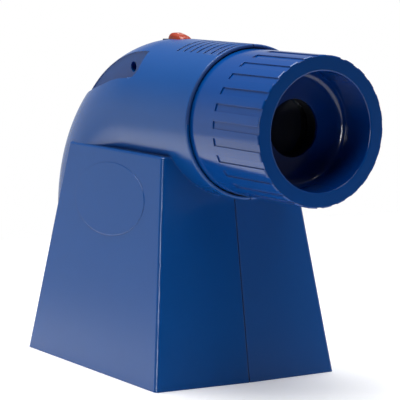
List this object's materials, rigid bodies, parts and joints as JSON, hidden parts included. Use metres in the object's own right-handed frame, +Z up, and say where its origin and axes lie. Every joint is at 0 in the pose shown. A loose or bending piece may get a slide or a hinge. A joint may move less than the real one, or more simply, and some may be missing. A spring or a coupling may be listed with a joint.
{
  "type": "opaque projector",
  "caption": "Small tabletop opaque projector: a leaning box over the copied picture, an elbow hood with lamp and mirror, a sliding focusing barrel with a lens and a rocker switch.",
  "frame": {"origin": "on the surface that the projector stands on, under the middle of its box", "axes": "+Z up, the focusing barrel points to -Y, +X is to the right seen from behind the lamp's far side, that is to the right when looking along +Y at the barrel"},
  "size_m": [0.145, 0.2914, 0.2314],
  "materials": {
    "housing_blue": "satin moulded plastic",
    "barrel_blue": "glossy moulded plastic",
    "rocker_red": "polished plastic",
    "black_plastic": "fine matt texture",
    "felt": "pressed felt",
    "foam": "closed-cell foam",
    "lens_glass": "polished",
    "bulb_glass": "clear",
    "front_mirror": "front silvered",
    "zinc_steel": "zinc plated",
    "bright_sheet": "bright rolled sheet",
    "cap_brass": "nickelled brass",
    "porcelain": "glazed white",
    "live_insulation": "smooth",
    "neutral_insulation": "smooth"
  },
  "bodies": {
    "housing": {"left_shell": "housing_blue", "right_shell": "housing_blue", "front_felt": "felt", "rear_felt": "felt", "mirror": "front_mirror", "mirror_cushions": "foam", "copy_frame": "black_plastic", "frame_screws": "zinc_steel", "hood_screw": "zinc_steel", "bracket_screws": "zinc_steel", "reflector_screws": "zinc_steel", "lamp_bulb": "bulb_glass", "lamp_cap": "cap_brass", "lamp_socket": "porcelain", "socket_nut": "zinc_steel", "socket_bracket": "zinc_steel", "reflector": "bright_sheet", "switch_body": "black_plastic", "switch_terminals": "cap_brass", "terminal_block": "black_plastic", "terminal_screws": "zinc_steel", "live_lead": "live_insulation", "neutral_lead": "neutral_insulation", "switched_lead": "live_insulation", "cord_grommet": "black_plastic"},
    "focus": {"focus_barrel": "barrel_blue", "lens_cell": "black_plastic", "lens": "lens_glass", "lens_ring": "black_plastic"},
    "rocker": {"switch_rocker": "rocker_red"}
  },
  "joints": [
    {"name": "focus_slide", "type": "slide", "parent": "housing", "child": "focus", "axis": [0, -1, 0], "range_m": [-0.022, 0.025]},
    {"name": "rocker_pivot", "type": "hinge", "parent": "housing", "child": "rocker", "pos_m": [0, 0.02453, 0.2237], "axis": [-1, 0, 0], "range_deg": [0, 24]}
  ]
}
